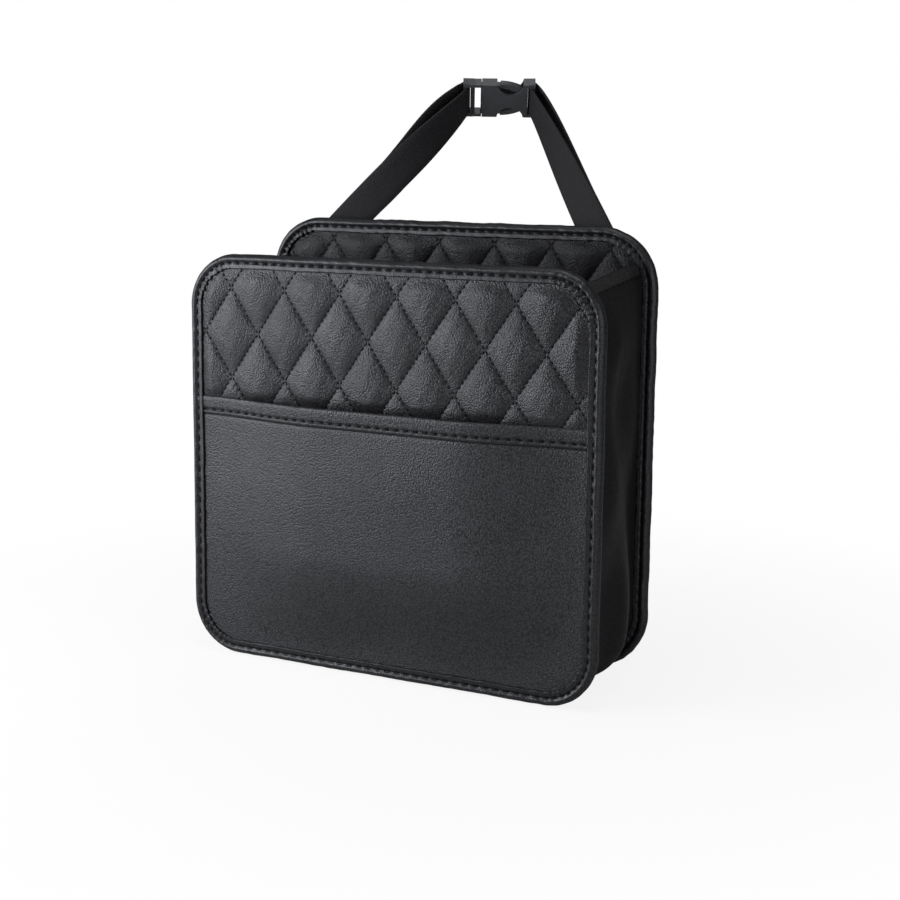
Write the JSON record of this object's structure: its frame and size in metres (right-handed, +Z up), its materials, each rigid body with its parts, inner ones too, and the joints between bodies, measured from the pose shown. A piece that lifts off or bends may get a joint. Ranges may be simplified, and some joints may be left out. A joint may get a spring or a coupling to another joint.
{
  "type": "back seat organizer",
  "caption": "Open box bag with two stiff rounded walls, a soft gusset, a quilted front over a flat pocket, and a webbing hanging loop with a side release buckle.",
  "frame": {"origin": "on the floor, in the middle of the overall width and depth", "axes": "+X across the bag, +Y from the front wall towards the strap, +Z up"},
  "size_m": [0.255, 0.1631, 0.3327],
  "materials": {
    "binding_leather": "smooth black artificial leather, soft sheen",
    "pocket_leather": "black artificial leather, fine pebble grain",
    "quilted_leather": "black artificial leather on thin foam, stitched in diamonds",
    "gusset_leather": "black artificial leather, slightly wavy",
    "board": "stiffening board, sewn in",
    "lining": "plain woven black lining",
    "webbing": "woven black webbing",
    "buckle": "moulded black plastic, satin"
  },
  "bodies": {
    "bag": {"front_binding": "binding_leather", "front_pocket": "pocket_leather", "front_quilted_cover": "quilted_leather", "front_board": "board", "front_lining": "lining", "gusset": "gusset_leather", "back_quilted_cover": "quilted_leather", "back_board": "board", "back_cover": "gusset_leather", "back_binding": "binding_leather", "strap_right": "webbing", "buckle_socket": "buckle"},
    "plug": {"buckle_plug": "buckle", "strap_left": "webbing"}
  },
  "joints": [
    {"name": "buckle_release", "type": "slide", "parent": "bag", "child": "plug", "axis": [-0.891, -0.454, 0], "range_m": [0, 0.025], "deforming": ["buckle_plug", "strap_left"]}
  ]
}
